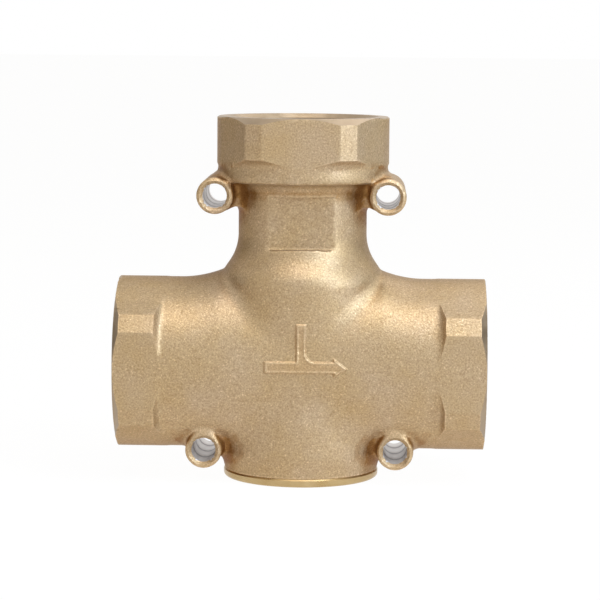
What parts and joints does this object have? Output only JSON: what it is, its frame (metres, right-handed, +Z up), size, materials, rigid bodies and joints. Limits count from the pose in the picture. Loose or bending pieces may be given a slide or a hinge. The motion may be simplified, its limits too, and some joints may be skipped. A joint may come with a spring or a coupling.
{
  "type": "anti-condensation valve",
  "caption": "Brass tee-shaped thermostatic anti-condensation valve with threaded hexagon ports, tubular fixing lugs, a screwed bottom plug and a sprung wax insert.",
  "frame": {"origin": "middle of the underside of the bottom plug, the lowest face of the part", "axes": "+X towards the outlet port, +Z up towards the by-pass port, -Y is the front with the raised flow sign"},
  "size_m": [0.108, 0.0504, 0.1067],
  "materials": {
    "cast_brass": "shot-blasted casting, matt with a fine grain",
    "turned_brass": "turned, satin to bright",
    "stainless": "pressed or drawn, satin",
    "copper_cup": "drawn copper alloy, satin",
    "seal_rubber": "matt black",
    "wax": "dull"
  },
  "bodies": {
    "housing": {"valve_body": "cast_brass", "bottom_plug": "turned_brass", "plug_o_ring": "seal_rubber", "flange_gasket": "seal_rubber", "seat_flange": "stainless", "retaining_ring": "stainless", "lower_bridge": "stainless", "piston_pin": "stainless", "spring_cage": "stainless", "return_spring": "stainless"},
    "capsule": {"capsule_guide": "turned_brass", "wax_cup": "copper_cup", "rubber_boot": "seal_rubber", "wax_charge": "wax", "main_disc": "stainless", "disc_seal": "seal_rubber", "stem_clip": "stainless", "bypass_spring": "stainless"},
    "bypass": {"bypass_disc": "stainless"}
  },
  "joints": [
    {"name": "wax_lift", "type": "slide", "parent": "housing", "child": "capsule", "axis": [0, 0, 1], "range_m": [0, 0.007], "stiffness_N_per_m": 2000, "springref_m": -0.005, "deforming": ["return_spring"]},
    {"name": "bypass_give", "type": "slide", "parent": "capsule", "child": "bypass", "axis": [0, 0, 1], "range_m": [-0.003, 0], "stiffness_N_per_m": 800, "springref_m": 0.002, "deforming": ["bypass_spring"]}
  ]
}
